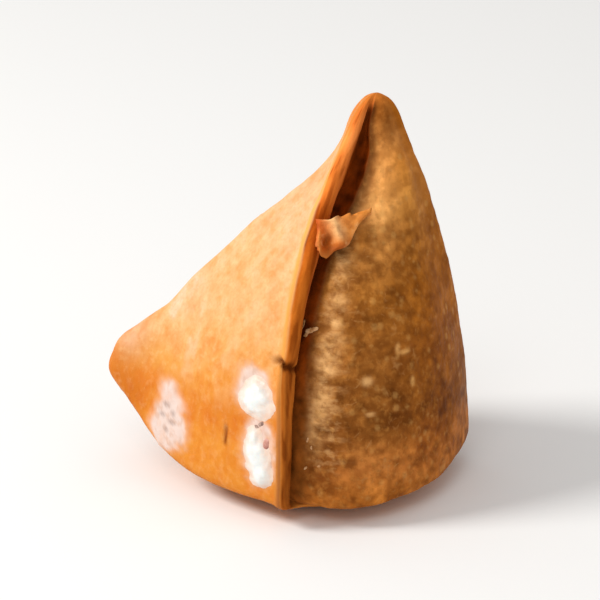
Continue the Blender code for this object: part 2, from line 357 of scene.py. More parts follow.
def build_crust(shift):
    skin, tip, foot, s, u = samosa_skin(FINE_COLUMNS, FINE_RINGS, True)
    skin, tip, foot = skin - shift, tip - shift, foot - shift
    out = grid_normals(skin)
    if (out[60, 40] * [-1, -1, 0]).sum() < 0:
        out = -out
    rings, columns, _ = skin.shape
    S = np.broadcast_to(s, (rings, columns))
    U = np.broadcast_to(u[:, None], (rings, columns))
    x, y, z = skin[..., 0], skin[..., 1], skin[..., 2]
    n = 28
    side = 1 - ramp(U, 17.2, 18.2)
    tip_share = 1 - ramp(U, 2.0, 4.5)
    # parts of the way round
    lip = ramp(S, 25.2, 26.2) + (1 - ramp(S, .9, 2.2))
    lip = np.clip(lip, 0, 1) * side
    W = np.where(S < 10, S + 28, S)                         # runs on past the outer corner at 28
    cut = ramp(W, 25.5, 26.0) * (1 - ramp(W, 27.75, 28.2)) * side
    crest = np.clip(1.2 * np.exp(-((W - 28.55) / .55) ** 2), 0, 1) * side
    within = ramp(W, 20.9, 21.3) * (1 - ramp(W, 27.75, 28.2)) * side
    fold = ramp(S, 20.6, 21.2) * (1 - ramp(S, 25.0, 25.7)) * side * ramp(U, 1.2, 2.2)
    left = ramp(S, .6, 1.6) * (1 - ramp(S, 7.4, 9.0))
    right = ramp(S, 14.2, 15.2) * (1 - ramp(S, 20.8, 21.6))
    back = ramp(S, 7.0, 7.6) * (1 - ramp(S, 14.2, 15.2))
    rough = np.clip(right + (.62 + .3 * ramp(S, 10, 14)) * ramp(S, 7.4, 9.4) * back + .3 * (1 - side), 0, 1) * (1 - fold)

    flat = skin.reshape(-1, 3)
    free = (1 - np.clip(fold + cut, 0, 1)) * (1 - .6 * tip_share)
    swell = .30 * clouds(flat, 13, 2, 3).reshape(x.shape) + .10 * clouds(flat, 5.2, 2, 4).reshape(x.shape)
    pebble = clouds(flat, 1.7, 2, 6).reshape(x.shape)
    fine = clouds(flat, .95, 1, 8).reshape(x.shape)
    lift = swell * free * (.25 + .75 * side)
    outline = np.exp(-((S - 16.1) / 1.9) ** 2)
    lift += ((.03 + .06 * rough) * pebble + .03 * rough * fine) * free * (1 - .75 * outline)

    # blisters: many small domes on the browned faces, few on the smooth left one
    rng = np.random.default_rng(SEED)
    area = np.linalg.norm(np.cross(np.roll(skin, -1, 1) - skin, np.gradient(skin, axis=0)), axis=-1)
    crowd = .55 + .45 * clouds(flat, 8, 2, 12).reshape(x.shape)
    chance = (area * (rough * np.clip(crowd, .05, 1) + .05 * left) * (1 - np.clip(lip + fold, 0, 1))).ravel()
    centres = rng.choice(len(flat), BLISTERS, p=chance / chance.sum())
    tree = KDTree(len(flat))
    for i, p in enumerate(flat):
        tree.insert(p, i)
    tree.balance()
    domes = np.zeros(len(flat))
    for c in centres:
        r = .42 + .75 * rng.random() ** 2.6
        if rough.ravel()[c] < .3:
            r *= .8
        a = r * (.07 + .11 * rng.random())
        for _, i, d in tree.find_range(Vector(flat[c]), r):
            k = 1 - (d / r) ** 2
            domes[i] = max(domes[i], a * k ** 1.5)
    domes = domes.reshape(x.shape) * free
    lift += domes * (1 - .85 * outline)
    # level creases where the browned face rolls into the fold
    crease_share = np.exp(-((S - 20.35) / .45) ** 2) * ramp(z, 9, 16) * (1 - ramp(z, 48, 60)) * side
    crease = clouds(flat * [.5, .5, 1.0], 1.4, 2, 59).reshape(x.shape)
    lift += .13 * crease * crease_share + .12 * pebble * fold

    # the nick: a crack across the lip, below which the dough stands out a little
    beyond = np.clip((28 - W) / 2, 0, 1)          # 0 at the outer corner, 1 at the inner one
    to_nick = z - NICK_Z + 1.5 * beyond + .10 * (x + 1) - .22 * np.sin(2.6 * x)
    over_lip = np.clip(ramp(S, 24.6, 25.6) + (1 - ramp(S, 1.2, 2.2)), 0, 1) * side
    nick = np.exp(-(to_nick / NICK_SIZE) ** 2) * over_lip
    lift -= .95 * nick * (1 - .5 * fold)
    below = (1 - ramp(to_nick, -.3, .3)) * ramp(to_nick, -16, -1)
    # short crack low on the left face
    cx, low, high, half = FACE_CRACK
    crack = np.exp(-((x - cx - .06 * (z - low)) / half) ** 2) * ramp(z, low - .6, low + .6) * (1 - ramp(z, high - .6, high + .6)) * left
    lift -= .16 * crack
    # thin yoghurt: fills the grain and stands a little proud
    film, film_top = np.zeros(x.shape), np.zeros(x.shape)
    near = (left > .5) & (side > .5) & (y < 0) & (z < 34)
    for blobs, seed, ragged, break_up, strength in FILMS:
        field = np.full(x.shape, -9.0)
        field[near] = mark_field(x[near], z[near], blobs, seed, ragged, break_up)
        film = np.maximum(film, strength * ramp(field, -1.0, .8))
        film_top = np.maximum(film_top, ramp(field, -.1, 1.3))
    lift = lift * (1 - .5 * film) + .12 * film + .12 * film * clouds(flat, 1.1, 2, 61).reshape(x.shape)
    skin = skin + out * lift[..., None]
    # uneven cut edge
    wander = noise(np.stack([z * 0, z * 0 + 5, z], -1), 6.0, 21) * .35 + noise(np.stack([z * 0, z * 0 + 9, z], -1), 1.9, 22) * .12
    edge = np.clip(cut + .6 * crest, 0, 1) * (1 - tip_share) * side
    push = unit(np.array([.66, -.75, 0]))
    skin = skin + push * (wander * edge)[..., None] + unit(np.array([-.5, -.86, 0])) * (.6 * below * np.clip(cut + .8 * crest, 0, 1) * side)[..., None]
    # finger marks along the pinched seam
    seam_off = skin[..., 1] + shift[1] - (SEAM_Y - SEAM_BOW * (1 - ((skin[..., 0] + shift[0]) / 36) ** 2))
    seam = np.exp(-(seam_off / 3.4) ** 2) * (1 - side)
    skin[..., 2] += .35 * (1 + np.sin(x * 1.15 + noise(flat, 6, 31).reshape(x.shape))) * seam
    skin[..., 2] = np.where(1 - side > .5, np.maximum(skin[..., 2], 0), skin[..., 2])

    # ---- colour
    drift = clouds(flat, 9, 3, 51).reshape(x.shape)
    patch = clouds(flat, 3.4, 3, 52).reshape(x.shape)
    # smooth face by height: deep orange low down, pale high up, the paleness partly painted light from above
    c_left = stops(z + 1.2 * drift, LEFT_TONE_AND_LIGHT)
    ear = np.exp(-(np.linalg.norm(skin - EAR_TIP, axis=-1) / 8.5) ** 2)
    c_left = mix(c_left, linear(*EAR_COLOUR), .95 * ear)
    c_left = mix(c_left, linear(*EAR_TOP), .6 * np.exp(-(np.linalg.norm(skin - EAR_TIP - [4.5, 0, 6.5], axis=-1) / 4.2) ** 2))
    tall = flat * [1, 1, .55]
    blotch = clouds(tall, 3.2, 3, 55).reshape(x.shape)
    c_left = mix(c_left, linear(*LEFT_DEEP), .42 * ramp(blotch, .0, .8) * (1 - .75 * ramp(z, 24, 40)))
    c_left = mix(c_left, linear(*LEFT_PALE), .35 * ramp(-blotch, .1, .8) * ramp(z, 14, 34))
    freckle = clouds(flat, 1.5, 2, 56).reshape(x.shape)
    c_left = mix(c_left, c_left * [.94, .82, .64], .75 * ramp(freckle, .1, .8))
    c_left = mix(c_left, c_left * [1.04, 1.12, 1.25], .6 * ramp(-freckle, .2, .8))
    c_left = mix(c_left, c_left * [1.02, 1.22, 1.75], .85 * ramp(-x, 13, 22) * ramp(z, 19, 26))
    c_left = mix(c_left, c_left * [.97, .88, .74], .8 * np.exp(-((x + 7.5) / 5.5) ** 2 - ((z - 27) / 7.5) ** 2))
    c_left = mix(c_left, c_left * [.80, .60, .36], .8 * np.exp(-((x + 31.5) / 3.4) ** 2 - ((z - 15.2) / 4.6) ** 2))
    c_left = mix(c_left, linear(*LEFT_EDGE), .7 * np.exp(-((U - 18.0) / .7) ** 2))
    # browned face by height, with painted light and shade: far paler at 52-67 mm where the upper face is lit, darkest
    # at 19-26 mm partly as painted shade
    c_right = stops(z + 2.2 * drift, RIGHT_TONE_AND_LIGHT)
    # a paler band where the face rolls into the fold: a painted highlight on that roll, broken by pale level creases
    centre_line = 20.58 - .34 * ramp(z, 20, 44)
    lit_band = np.exp(-((S - centre_line) / .32) ** 2) * ramp(z, 10, 22) * (1 - ramp(z, 46, 56))
    dapple = clouds(flat * [1, 1, 1.25], 1.9, 2, 58).reshape(x.shape)
    c_right = mix(c_right, linear(*LIT_BAND_AND_PALE_SPOT), lit_band * (.55 + .34 * np.clip(-dapple, -.8, .7) + .3 * np.clip(crease, -.8, .8)))
    calm = 1 - .45 * ramp(z, 50, 60)
    c_right = mix(c_right, c_right * [.62, .57, .50], .75 * calm * ramp(dapple, .05, .7))
    c_right = mix(c_right, c_right * [1.42, 1.52, 1.7], .7 * ramp(-dapple, .12, .75) * (1 - .75 * lit_band))
    # painted shade where the upper face turns away to the right, and a little painted light over its top
    turned_away_shade = ramp(S, 19.4, 17.0) * ramp(z, 40, 52) * (1 - .6 * ramp(z, 58, 68))
    c_right = c_right * (1 + .12 * ramp(z, 50, 58) - .34 * turned_away_shade)[..., None]
    for px, pz, pr, pq in PALE_SPOTS:
        c_right = mix(c_right, linear(*LIT_BAND_AND_PALE_SPOT), .8 * np.exp(-(((x - px) / pr) ** 2 + ((z - pz) / pq) ** 2) ** 1.5) * (y < 0))
    c_right = mix(c_right, linear(*RIGHT_EDGE), .7 * (1 - ramp(S, 15.2, 17.8)) * ramp(z, 14, 30))
    c_right = mix(c_right, c_right * [.96, .82, .45], .85 * np.exp(-((S - 17.4) / 1.1) ** 2) * ramp(z, 6, 16) * (1 - ramp(z, 66, 72)))
    c_right = mix(c_right, c_right * [1.36, 1.46, 1.6], .98 * np.exp(-((x - 16.6) / 5.4) ** 2 - ((z - 12.9) / 4.6) ** 2) * (y < 0))
    c_right = mix(c_right, c_right * [.66, .60, .54], .7 * calm * ramp(patch, .05, .65))
    c_right = mix(c_right, c_right * [1.3, 1.38, 1.5], .7 * ramp(-patch, .1, .75) * (1 - .6 * lit_band))
    c_back = stops(z + 2 * drift, BACK_HEIGHTS)
    c_back = mix(c_back, c_back * [.72, .64, .54], .7 * ramp(patch + .3 * drift, .0, .7))
    c_back = mix(c_back, c_back * [1.22, 1.3, 1.42], .6 * ramp(-patch, .1, .8))
    c_back = mix(c_back, c_left, 1 - ramp(S, 7.4, 9.6))
    c_back = mix(c_back, c_right, ramp(S + .8 * patch, 11.4, 15.0))
    # painted shadow of the flap's edge on the browned face beside the fold, wider high up
    high = ramp(z, 44, 54)
    c_right = c_right * (1 - (.5 + .12 * high) * ramp(S, 20.72 - 1.9 * high, 21.1 - .35 * high))[..., None]
    # painted shadow of the flake on the face to its right and below
    c_right = mix(c_right, c_right * [.66, .56, .34], .9 * np.exp(-((x - 13.6) / 2.6) ** 2 - ((z - 53.4) / 3.2) ** 2) * (y < 0))
    # painted shade widening the dark of the fold towards the tip
    tipward = ramp(z, 52, 62)
    c_right = mix(c_right, c_right * [.45, .36, .30], .8 * tipward * ramp(S, 20.5 - 1.3 * tipward, 20.9 - .7 * tipward))
    colour = c_left
    colour = mix(colour, c_back, ramp(S, 7.0, 7.6) * (1 - ramp(S, 15.6, 16.4)))
    colour = mix(colour, c_right, right)
    colour = mix(colour, linear(*UNDER_COLOUR), 1 - side)
    colour = mix(colour, linear(*SEAM_COLOUR), .7 * seam)
    # painted highlight along the rounded crest of the lip, bright high up and dim low down
    colour = mix(colour, stops(z, CREST_HIGHLIGHT_HEIGHTS), crest)
    across = np.clip((W - 26.0) / 2, 0, 1)
    along = clouds(np.stack([across * 4.2, z * 0, z * .24], -1), 1.0, 3, 57).reshape(x.shape)
    c_cut = stops(z + 1.5 * drift, CUT_HEIGHTS)
    lower = 1 - ramp(z, 22, 32)
    c_cut = c_cut * (.80 + .30 * lower + (.42 - .16 * lower) * ramp(across, .1, .95))[..., None]
    c_cut = mix(c_cut, c_cut * [.58, .48, .36], .85 * ramp(along, .0, .6))
    c_cut = mix(c_cut, c_cut * [1.3, 1.45, 1.7], .8 * ramp(-along, .05, .7))
    layer = .7 * np.exp(-((across - .60) / .13) ** 2) * (1 - ramp(z, 30.5, 32.5)) * ramp(z, 5, 9)
    c_cut = mix(c_cut, linear(*LAYER_COLOUR), .5 * layer)
    colour = mix(colour, c_cut, within)
    # a faint painted highlight along the inner corner of the cut edge
    inner_highlight = np.exp(-((S - 25.95) / .22) ** 2) * side * ramp(z, 28, 44)
    colour = mix(colour, linear(*INNER_CORNER_HIGHLIGHT), .45 * inner_highlight)
    # inside the fold: dark reddish brown painted as the shade in the recess, a little lighter low down, and darker
    # still near the tip
    in_fold = clouds(flat, 2.2, 3, 65).reshape(x.shape)
    fold_shade = linear(*FOLD_SHADE) * (1 + .55 * np.clip(in_fold, -1, 1.4))[..., None]
    fold_shade = mix(fold_shade, linear(*FOLD_SHADE_LOW) * (1 + .5 * np.clip(in_fold, -1, 1.2))[..., None], 1 - ramp(z, 14, 36))
    colour = mix(colour, fold_shade, fold)
    colour = colour * (1 - .45 * fold * tip_share)[..., None]
    colour = mix(colour, linear(*TIP_COLOUR), .8 * np.where(S > 13, 1 - ramp(U, .7, 2.0), tip_share) * (1 - fold))
    colour = mix(colour, linear(*BLISTER_COLOUR), .32 * ramp(domes, .04, .14) * rough * (1 - ramp(S, 18.8, 20.4) * ramp(z, 42, 56)))
    colour = mix(colour, colour * [.60, .54, .44], right * (1 - fold) * np.exp(-((x - 5.0) / 3.6) ** 4 - ((z - 13.2) / 4.6) ** 4) * (y < 0))
    colour = mix(colour, linear(*CRACK_COLOUR), 1.0 * crack)
    colour = mix(colour, linear(*NICK_COLOUR), 1.15 * nick)
    # the thin yoghurt lets the crust show at its edge
    thin = np.clip(.66 * film + .34 * film * film_top + .2 * film * clouds(flat, 1.3, 2, 63).reshape(x.shape), 0, 1)
    colour = mix(colour, mix(np.broadcast_to(linear(*FILM_EDGE), colour.shape), linear(*FILM_COLOUR), film_top), thin)
    colour = mix(colour, linear(*FILM_SPECK), .5 * film * ramp(clouds(flat, .9, 1, 64).reshape(x.shape), .45, .8))

    for px, pz, pr, pq in FILM_SPOTS:
        colour = mix(colour, linear(*FILM_GREY), .62 * film * np.exp(-(((x - px) / pr) ** 2 + ((z - pz) / pq) ** 2) ** 1.4) * (y < 0))

    points = np.vstack([skin.reshape(-1, 3), tip, foot])
    at = lambda r, c: r * columns + c % columns
    top, bottom = rings * columns, rings * columns + 1
    faces = [(top, at(0, c), at(0, c + 1)) for c in range(columns)]
    for r in range(rings - 1):
        for c in range(columns):
            faces.append((at(r, c), at(r + 1, c), at(r + 1, c + 1), at(r, c + 1)))
    faces += [(bottom, at(rings - 1, c + 1), at(rings - 1, c)) for c in range(columns)]
    faces = facing_out(points, faces)
    crust = new_mesh("crust", points, faces)
    ends = np.array([colour[0].mean(0), colour[-1].mean(0)])
    paint(crust, "crust_colour", np.vstack([colour.reshape(-1, 3), ends]))
    grain = np.stack([rough * (1 - .5 * outline) * (1 - .35 * ramp(z, 50, 60)), left * side * (1 - film) * (.5 + .5 * ramp(z, 18, 30)), np.clip(cut + fold + nick + crack, 0, 1)], -1).reshape(-1, 3)
    paint(crust, "crust_grain", np.vstack([grain, grain[:1] * 0, grain[-1:] * 0]))
    share = np.stack([film, crease_share, (1 - outline) * rough * (1 - ramp(S, 20.2, 20.9)) * (1 - ramp(z, 66, 72))], -1).reshape(-1, 3)
    paint(crust, "crust_share", np.vstack([share, share[:1] * 0, share[:1] * 0]))
    return crust


# smooth face by height; the paler upper rows are partly painted light from above
LEFT_TONE_AND_LIGHT = [(4, (220, 136, 48)), (14, (222, 140, 52)), (20, (214, 127, 44)), (26, (224, 146, 62)), (33, (232, 168, 100)), (38, (234, 176, 118)), (47, (234, 179, 122)), (59, (234, 184, 138)), (70, (226, 164, 106))]
EAR_COLOUR = (206, 119, 41)
EAR_TOP = (234, 174, 126)
# browned face by height: its own brown, with painted light high up and partly painted shade at 19-26 mm
RIGHT_TONE_AND_LIGHT = [(4, (176, 102, 34)), (11, (180, 106, 45)), (19, (131, 75, 26)), (26, (142, 84, 31)), (34, (154, 92, 35)), (44, (168, 103, 38)), (52, (194, 125, 58)), (60, (236, 166, 92)), (67, (231, 155, 80)), (74, (162, 94, 34))]
BACK_HEIGHTS = [(4, (192, 112, 40)), (18, (178, 102, 36)), (34, (196, 120, 50)), (52, (214, 142, 74)), (68, (212, 136, 66)), (76, (196, 112, 44))]
FOLD_SHADE_LOW = (136, 74, 24)
# colour of the painted highlight band and of the crust's own pale spots
LIT_BAND_AND_PALE_SPOT = (234, 178, 114)
PALE_SPOTS = ((14.7, 28.7, 1.1, .9), (14.5, 28.8, .8, .6), (20.5, 33.9, .5, .9), (21.7, 32.9, 1.3, .45), (7.9, 18.6, .5, .6), (15.4, 22.6, .9, .4), (23.5, 27.0, .4, .9))
RIGHT_EDGE = (178, 100, 14)
FILM_GREY = (150, 128, 122)
FILM_SPOTS = ((-24.0, 17.2, .75, .5), (-23.1, 14.2, .8, .45), (-24.8, 15.1, .6, .45), (-22.7, 15.9, .45, .6), (-24.2, 12.4, .5, .5))
UNDER_COLOUR = (196, 122, 52)
SEAM_COLOUR = (150, 82, 30)
CREST_HIGHLIGHT_HEIGHTS = [(4, (170, 102, 48)), (18, (174, 108, 56)), (26, (196, 122, 58)), (34, (236, 156, 74)), (60, (246, 176, 96)), (74, (232, 144, 64))]
CUT_HEIGHTS = [(4, (128, 64, 14)), (17, (152, 80, 22)), (26, (176, 94, 28)), (33, (184, 98, 30)), (44, (190, 98, 26)), (58, (190, 90, 22)), (66, (224, 120, 46)), (70, (236, 132, 60)), (76, (226, 120, 48))]
INNER_CORNER_HIGHLIGHT = (204, 104, 52)
FOLD_SHADE = (120, 48, 4)
TIP_COLOUR = (214, 122, 46)
BLISTER_COLOUR = (226, 170, 96)
CRACK_COLOUR = (132, 58, 8)
NICK_COLOUR = (98, 42, 6)
LAYER_COLOUR = (96, 42, 8)
FILM_COLOUR = (226, 204, 194)
FILM_EDGE = (232, 178, 142)
FILM_SPECK = (206, 162, 136)
LEFT_DEEP = (214, 116, 40)
LEFT_PALE = (242, 196, 152)
LEFT_EDGE = (176, 104, 46)


# ------------------------------------------------------------------ materials
def material(name, colour, roughness=.5, metallic=0.0):
    m = bpy.data.materials.new(name)
    m.use_nodes = True
    shader = m.node_tree.nodes["Principled BSDF"]
    shader.inputs["Base Color"].default_value = (*linear(*colour), 1)
    shader.inputs["Roughness"].default_value = roughness
    shader.inputs["Metallic"].default_value = metallic
    return m, m.node_tree.nodes, m.node_tree.links, shader


def add(nodes, kind, **values):
    node = nodes.new(kind)
    for key, value in values.items():
        if hasattr(node, key):
            setattr(node, key, value)
        else:
            node.inputs[key.replace("_", " ")].default_value = value
    return node


def noise_node(nodes, links, vector, scale, detail=3.0, roughness=.55):
    node = nodes.new("ShaderNodeTexNoise")
    node.inputs["Scale"].default_value = scale
    node.inputs["Detail"].default_value = detail
    node.inputs["Roughness"].default_value = roughness
    links.new(vector, node.inputs["Vector"])
    return node.outputs["Fac"]


def remap(nodes, links, value, a, b, low=0.0, high=1.0):
    node = nodes.new("ShaderNodeMapRange")
    node.inputs["From Min"].default_value = a
    node.inputs["From Max"].default_value = b
    node.inputs["To Min"].default_value = low
    node.inputs["To Max"].default_value = high
    links.new(value, node.inputs["Value"])
    return node.outputs["Result"]


def maths(nodes, links, kind, a, b=None):
    node = nodes.new("ShaderNodeMath")
    node.operation = kind
    for k, value in enumerate((a, b)):
        if value is None:
            continue
        if isinstance(value, (int, float)):
            node.inputs[k].default_value = value
        else:
            links.new(value, node.inputs[k])
    return node.outputs[0]


def blend_colour(nodes, links, fac, a, b, kind="MIX"):
    node = nodes.new("ShaderNodeMix")
    node.data_type = "RGBA"
    node.blend_type = kind
    for socket, value in ((node.inputs[0], fac), (node.inputs[6], a), (node.inputs[7], b)):
        if isinstance(value, (int, float)):
            socket.default_value = value
        elif isinstance(value, tuple):
            socket.default_value = (*linear(*value), 1)
        else:
            links.new(value, socket)
    return node.outputs[2]


def crust_material():
    m, nodes, links, shader = material("fried_crust", (210, 140, 75), .55)
    shader.inputs["Specular IOR Level"].default_value = .03
    place = nodes.new("ShaderNodeTexCoord").outputs["Object"]
    colour = add(nodes, "ShaderNodeAttribute", attribute_name="crust_colour").outputs["Color"]
    grain = add(nodes, "ShaderNodeAttribute", attribute_name="crust_grain").outputs["Color"]
    split = nodes.new("ShaderNodeSeparateColor")
    links.new(grain, split.inputs[0])
    rough, smooth, inside = split.outputs[0], split.outputs[1], split.outputs[2]

    mottle = noise_node(nodes, links, place, 420, 5, .62)
    speck = noise_node(nodes, links, place, 760, 3, .55)
    pores = noise_node(nodes, links, place, 1700, 2, .5)
    stretched = nodes.new("ShaderNodeMapping")
    stretched.inputs["Scale"].default_value = (1, 1, .35)
    links.new(place, stretched.inputs["Vector"])
    streak = noise_node(nodes, links, stretched.outputs[0], 520, 4, .6)

    # browned faces: darker and lighter mottling, pale specks, dark pores
    dark = maths(nodes, links, "MULTIPLY", remap(nodes, links, mottle, .48, .68), maths(nodes, links, "MULTIPLY", rough, .55))
    colour = blend_colour(nodes, links, dark, colour, (122, 64, 16), "MIX")
    pale = maths(nodes, links, "MULTIPLY", remap(nodes, links, speck, .52, .74), maths(nodes, links, "MULTIPLY", rough, .32))
    colour = blend_colour(nodes, links, pale, colour, (220, 150, 72))
    pore = maths(nodes, links, "MULTIPLY", remap(nodes, links, pores, .58, .76), maths(nodes, links, "MULTIPLY", rough, .26))
    colour = blend_colour(nodes, links, pore, colour, (104, 50, 10))
    # pale, broken curls of blister skin, and level streaks beside the fold
    parts = nodes.new("ShaderNodeSeparateColor")
    links.new(add(nodes, "ShaderNodeAttribute", attribute_name="crust_share").outputs["Color"], parts.inputs[0])
    curl = noise_node(nodes, links, place, 460, 0, .5)
    off = maths(nodes, links, "ABSOLUTE", maths(nodes, links, "SUBTRACT", curl, .5))
    gate = maths(nodes, links, "MULTIPLY", remap(nodes, links, mottle, .55, .66), parts.outputs[2])
    curls = maths(nodes, links, "MULTIPLY", remap(nodes, links, off, .08, .0), maths(nodes, links, "MULTIPLY", gate, .34))
    colour = blend_colour(nodes, links, curls, colour, (226, 166, 100))
    level = nodes.new("ShaderNodeMapping")
    level.inputs["Scale"].default_value = (.5, .5, 1)
    links.new(place, level.inputs["Vector"])
    rows = noise_node(nodes, links, level.outputs[0], 760, 3, .6)
    rows_on = maths(nodes, links, "MULTIPLY", remap(nodes, links, rows, .50, .66), maths(nodes, links, "MULTIPLY", parts.outputs[1], .36))
    colour = blend_colour(nodes, links, rows_on, colour, (240, 186, 122))
    rows_off = maths(nodes, links, "MULTIPLY", remap(nodes, links, rows, .47, .36), maths(nodes, links, "MULTIPLY", parts.outputs[1], .4))
    colour = blend_colour(nodes, links, rows_off, colour, (116, 64, 20))
    # smooth face: a fine, faint grain, upright streaks and a few warmer freckles
    fine = maths(nodes, links, "MULTIPLY", remap(nodes, links, pores, .46, .66), maths(nodes, links, "MULTIPLY", smooth, .16))
    colour = blend_colour(nodes, links, fine, colour, (206, 112, 38))
    soft = maths(nodes, links, "MULTIPLY", remap(nodes, links, speck, .50, .72), maths(nodes, links, "MULTIPLY", smooth, .26))
    colour = blend_colour(nodes, links, soft, colour, (250, 206, 146))
    warm = maths(nodes, links, "MULTIPLY", remap(nodes, links, streak, .48, .76), maths(nodes, links, "MULTIPLY", smooth, .20))
    colour = blend_colour(nodes, links, warm, colour, (224, 138, 58))
    lightly = maths(nodes, links, "MULTIPLY", remap(nodes, links, streak, .50, .26), maths(nodes, links, "MULTIPLY", smooth, .12))
    colour = blend_colour(nodes, links, lightly, colour, (252, 214, 168))
    links.new(colour, shader.inputs["Base Color"])

    sheen = maths(nodes, links, "ADD", remap(nodes, links, mottle, .3, .7, .40, .58), maths(nodes, links, "MULTIPLY", inside, .2))
    links.new(sheen, shader.inputs["Roughness"])
    # fine relief
    cells = nodes.new("ShaderNodeTexVoronoi")
    cells.feature = "SMOOTH_F1"
    cells.inputs["Scale"].default_value = 760
    cells.inputs["Smoothness"].default_value = .6
    links.new(place, cells.inputs["Vector"])
    bubbles = maths(nodes, links, "MULTIPLY", maths(nodes, links, "SUBTRACT", 1.0, cells.outputs["Distance"]), maths(nodes, links, "MULTIPLY", rough, .6))
    height = maths(nodes, links, "ADD", bubbles, maths(nodes, links, "MULTIPLY", speck, .9))
    height = maths(nodes, links, "ADD", height, maths(nodes, links, "MULTIPLY", streak, .2))
    bump = nodes.new("ShaderNodeBump")
    bump.inputs["Strength"].default_value = .55
    bump.inputs["Distance"].default_value = .00042
    links.new(height, bump.inputs["Height"])
    links.new(bump.outputs[0], shader.inputs["Normal"])
    return m


# ------------------------------------------------------------------ what sticks to it
def surface(*pieces):
    tool = bmesh.new()
    for piece in pieces:
        tool.from_mesh(piece.data)
    tree = BVHTree.FromBMesh(tool)
    tool.free()
    return tree


def touch(tree, x, z, way=(0, 1, 0), start=-60):
    """Where a line from the front meets the crust: (point, outward normal) in millimetres."""
    hit, normal, _, _ = tree.ray_cast(Vector((x * MM, start * MM, z * MM)), Vector(way))
    if hit is None:
        return None
    normal = -normal if normal.y > 0 else normal
    return np.array(hit) / MM, np.array(normal)


def smear(name, tree, blobs, thickness, reach, step, seed, ragged):
    """A mark laid on the crust: the union of soft ellipses in x and z, thick in the middle, sinking
    under the crust at its edge, and closed behind. Each blob is (x, z, half width, half height, lean)."""
    xs = np.arange(min(b[0] - b[2] for b in blobs) - 1.5, max(b[0] + b[2] for b in blobs) + 1.5, step)
    zs = np.arange(min(b[1] - b[3] for b in blobs) - 1.5, max(b[1] + b[3] for b in blobs) + 1.5, step)
    X, Z = np.meshgrid(xs, zs)
    flat = np.stack([X.ravel(), Z.ravel() * 0 + seed, Z.ravel()], -1)
    field = mark_field(X, Z, blobs, seed, ragged)
    base = np.full(X.shape + (3,), np.nan)
    normal = np.zeros(X.shape + (3,))
    near = field > -1.2
    for r, c in zip(*np.nonzero(near)):
        hit = touch(tree, X[r, c], Z[r, c])
        if hit is not None:
            base[r, c], normal[r, c] = hit
    known = np.isfinite(base[..., 0]) & near
    # even out the crust's own grain under the mark
    for _ in range(6):
        total, count = np.zeros_like(normal), np.zeros(X.shape)
        for dr, dc in ((0, 1), (0, -1), (1, 0), (-1, 0), (0, 0)):
            rolled, ok = np.roll(normal, (dr, dc), (0, 1)), np.roll(known, (dr, dc), (0, 1))
            total += rolled * ok[..., None]
            count += ok
        normal = np.where(known[..., None], unit(total), normal)
    inward = np.clip(field / reach, 0, 1)
    rise = np.where(field > 0, .10 + thickness * np.sin(np.pi / 2 * inward) ** 1.5, .10 + .6 * field)
    rise = rise + inward * (.11 * clouds(flat, 2.6, 2, seed + 3) + .025 * clouds(flat, 1.1, 1, seed + 4)).reshape(X.shape)
    rise = np.maximum(rise, -.45)
    keep = known & (field > -.55)
    full = keep[:-1, :-1] & keep[1:, :-1] & keep[1:, 1:] & keep[:-1, 1:]
    index, front, rear = {}, [], []

    def corner(r, c):
        if (r, c) not in index:
            index[r, c] = len(front)
            front.append(base[r, c] + normal[r, c] * rise[r, c])
            rear.append(base[r, c] - normal[r, c] * .8)
        return index[r, c]

    quads = [[corner(r, c), corner(r, c + 1), corner(r + 1, c + 1), corner(r + 1, c)] for r, c in zip(*np.nonzero(full))]
    count = len(front)
    edges = {}
    for q in quads:
        for a, b in zip(q, q[1:] + q[:1]):
            edges[a, b] = edges.get((a, b), 0) + 1
    faces = [tuple(q) for q in quads] + [tuple(i + count for i in reversed(q)) for q in quads]
    faces += [(b, a, a + count, b + count) for a, b in edges if (b, a) not in edges]
    points = np.vstack([front, rear])
    piece = new_mesh(name, points, faces)
    thick = np.concatenate([[field[rc] for rc in index], np.zeros(count)])
    paint(piece, "thickness", np.repeat(np.clip(thick / reach, 0, 1)[:, None], 3, 1))
    tool = bmesh.new()
    tool.from_mesh(piece.data)
    bmesh.ops.recalc_face_normals(tool, faces=tool.faces[:])
    tool.to_mesh(piece.data)
    tool.free()
    piece.data.shade_smooth()
    return piece


def yoghurt_material(name, thick_colour, thin_colour, roughness):
    m, nodes, links, shader = material(name, thick_colour, roughness)
    place = nodes.new("ShaderNodeTexCoord").outputs["Object"]
    thick = add(nodes, "ShaderNodeAttribute", attribute_name="thickness").outputs["Fac"]
    cloudy = noise_node(nodes, links, place, 600, 4, .55)
    share = maths(nodes, links, "ADD", remap(nodes, links, thick, .02, .7), remap(nodes, links, cloudy, .35, .65, -.16, .16))
    colour = blend_colour(nodes, links, share, thin_colour, thick_colour)
    links.new(colour, shader.inputs["Base Color"])
    links.new(remap(nodes, links, cloudy, .3, .7, roughness - .07, roughness + .09), shader.inputs["Roughness"])
    bump = nodes.new("ShaderNodeBump")
    bump.inputs["Strength"].default_value = .3
    bump.inputs["Distance"].default_value = .0003
    links.new(noise_node(nodes, links, place, 1300, 3, .5), bump.inputs["Height"])
    links.new(bump.outputs[0], shader.inputs["Normal"])
    shader.inputs["Subsurface Weight"].default_value = .25
    shader.inputs["Subsurface Radius"].default_value = (.0012, .0010, .0008)
    shader.inputs["Subsurface Scale"].default_value = 1.0
    return m


